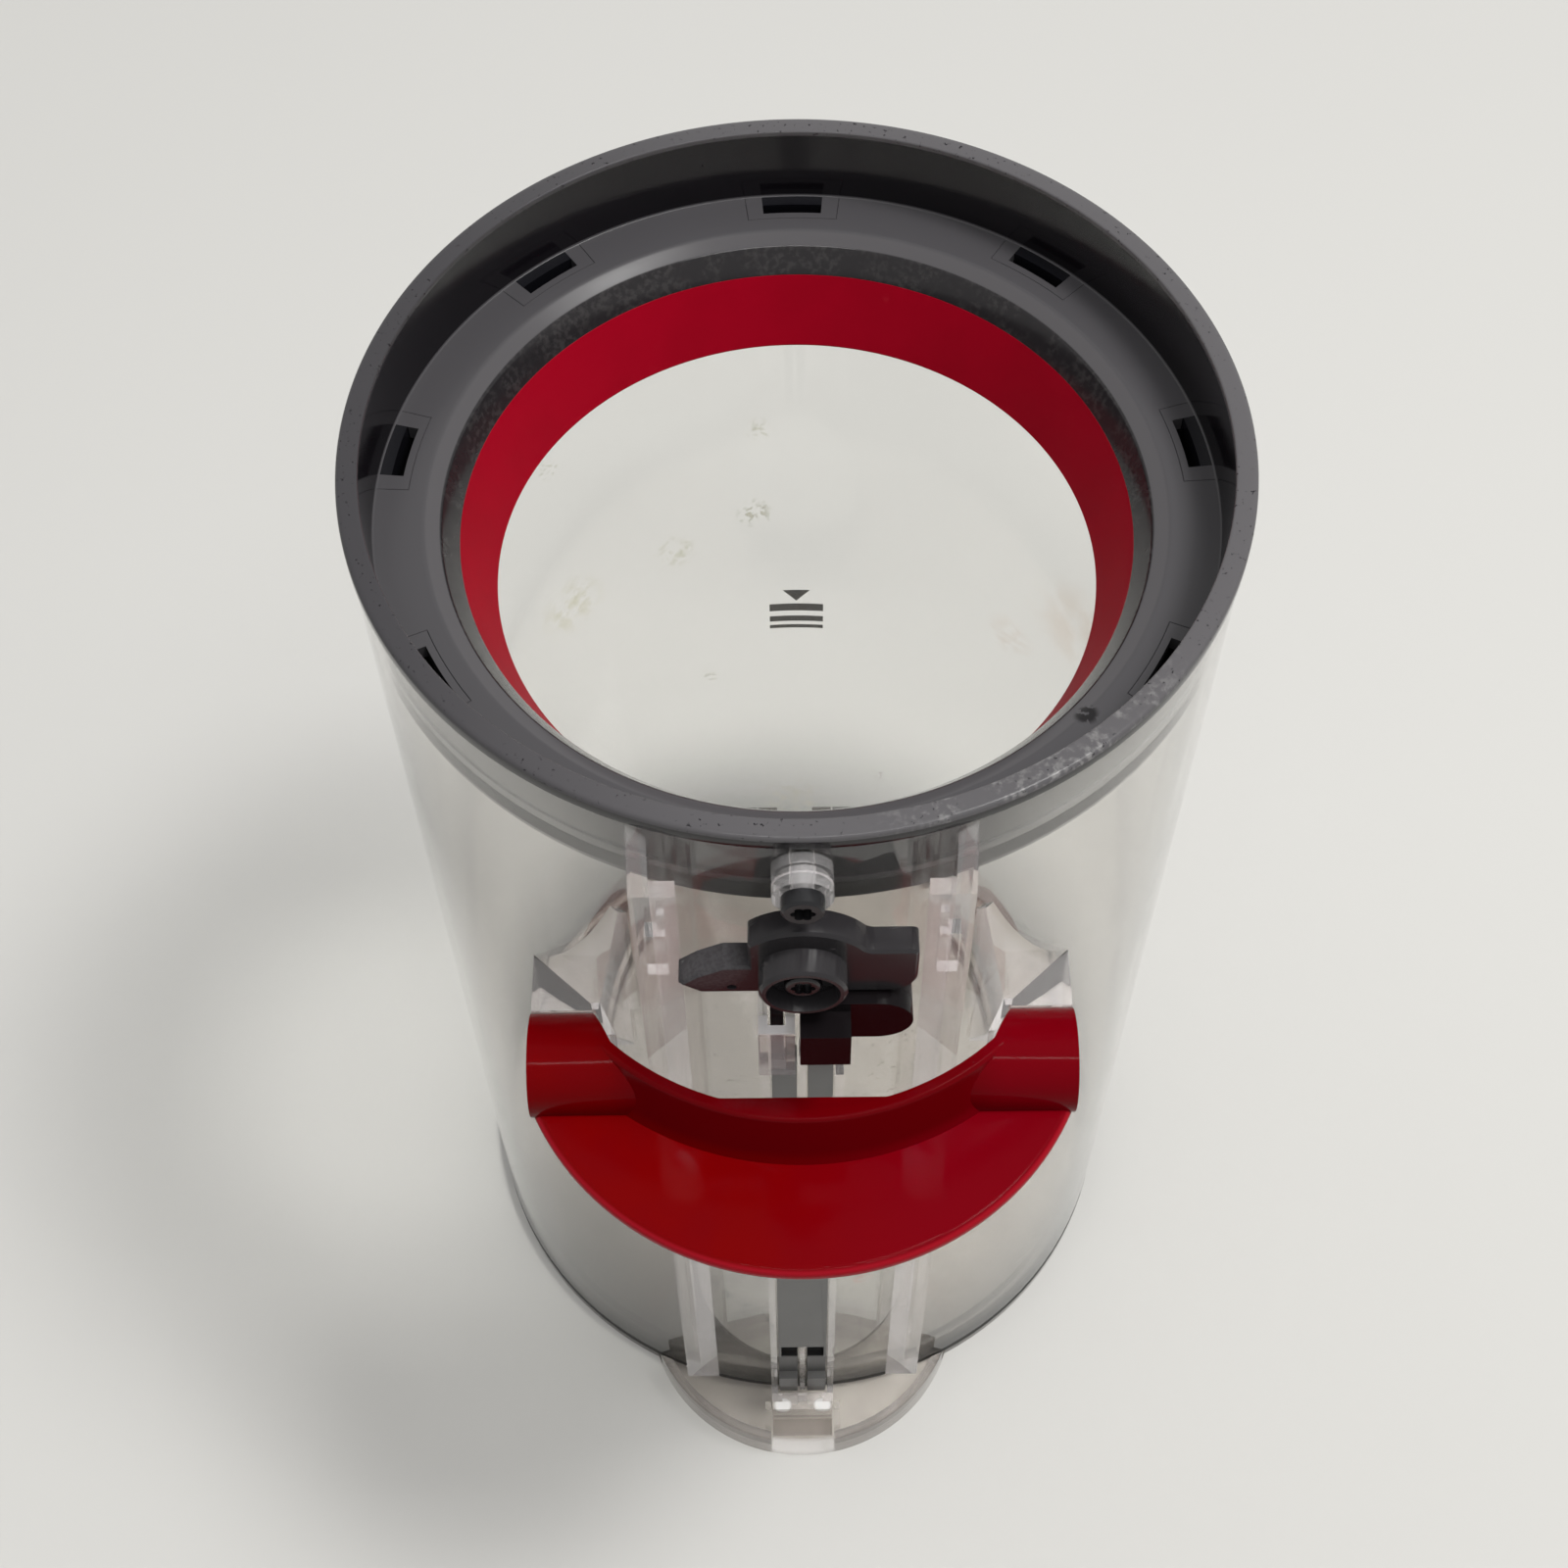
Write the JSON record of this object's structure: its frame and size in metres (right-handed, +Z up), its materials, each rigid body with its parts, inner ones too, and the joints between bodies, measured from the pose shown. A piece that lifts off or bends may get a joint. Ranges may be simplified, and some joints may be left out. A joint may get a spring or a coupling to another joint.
{
  "type": "cyclone dust bin",
  "caption": "Clear cylindrical dust bin of a stick vacuum, with a slotted collar and wiper ring on top, a red push handle, a lever-and-rod lid release and a hinged base lid with a wand inlet.",
  "frame": {"origin": "on the bin's axis, at the flat underside of the base lid", "axes": "+Z up the bin towards the collar, -Y towards the runner rails, lever and handle, +Y towards the lid hinge"},
  "size_m": [0.117, 0.1555, 0.203],
  "materials": {
    "clear": "clear, scuffed",
    "collar_grey": "fine grain",
    "lever_grey": "satin",
    "rod_grey": "satin",
    "red_gloss": "polished",
    "red_rubber": "matte",
    "black_rubber": "matte",
    "black_steel": "black oxide",
    "steel": "plain"
  },
  "bodies": {
    "bin": {"bin_shell": "clear", "top_collar": "collar_grey", "collar_seal": "black_rubber", "wiper_ring": "red_rubber", "collar_screw": "black_steel", "handle": "red_gloss", "lever_washer": "black_steel", "lever_screw": "black_steel", "lever_spring": "steel", "hinge_pin": "steel", "hinge_spring": "steel"},
    "lid": {"base_lid": "clear", "lid_seal": "black_rubber", "lid_catch": "clear"},
    "flap": {"inlet_flap": "black_rubber"},
    "lever": {"release_lever": "lever_grey"},
    "rod": {"push_rod": "rod_grey", "push_rod_head": "lever_grey"}
  },
  "joints": [
    {"name": "lid_hinge", "type": "hinge", "parent": "bin", "child": "lid", "pos_m": [0, 0.0628, 0.0036], "axis": [1, 0, 0], "range_deg": [0, 95], "deforming": ["lid_catch", "hinge_spring"]},
    {"name": "lever_pivot", "type": "hinge", "parent": "bin", "child": "lever", "pos_m": [0, -0.0625, 0.1815], "axis": [0, 1, 0], "range_deg": [0, 22], "deforming": ["lever_spring", "lid_catch"]},
    {"name": "rod_slide", "type": "slide", "parent": "bin", "child": "rod", "axis": [0, 0, -1], "range_m": [0, 0.004], "stiffness_N_per_m": 900, "springref_m": -0.005, "deforming": ["lid_catch"]},
    {"name": "flap_hinge", "type": "hinge", "parent": "lid", "child": "flap", "pos_m": [0, -0.0149, 0.0088], "axis": [-1, 0, 0], "range_deg": [0, 70]}
  ],
  "couplings": [
    {"joint": "lever_pivot", "follows": "rod_slide", "rad_per_m": 95.238}
  ]
}
